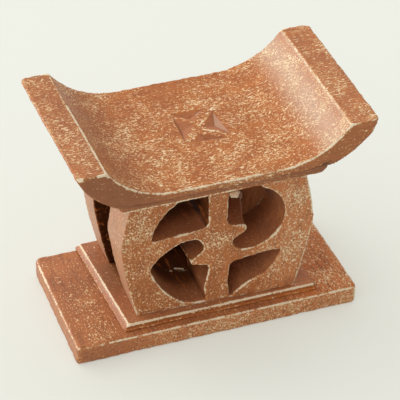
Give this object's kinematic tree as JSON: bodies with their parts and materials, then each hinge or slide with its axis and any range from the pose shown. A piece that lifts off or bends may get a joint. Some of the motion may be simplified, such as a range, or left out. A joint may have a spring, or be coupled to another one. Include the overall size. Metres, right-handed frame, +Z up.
{
  "type": "ashanti stool",
  "caption": "Small carved Ashanti stool: curved seat on openwork panels with a traditional symbol, on a moulded plinth and flat base.",
  "frame": {"origin": "middle of the base board's underside", "axes": "+X along the seat's long side, to the right as the front panel is seen; the front panel faces -Y; +Z up"},
  "size_m": [0.1644, 0.0946, 0.1273],
  "materials": {
    "painted_wood": "matte worn paint",
    "bare_wood": "bare"
  },
  "bodies": {
    "root": {"base_board": "painted_wood", "plinth_board": "painted_wood", "front_panel": "painted_wood", "rear_panel": "painted_wood", "cap_board": "painted_wood", "seat_board": "painted_wood", "lower_pegs": "bare_wood", "upper_pegs": "bare_wood"}
  },
  "joints": []
}
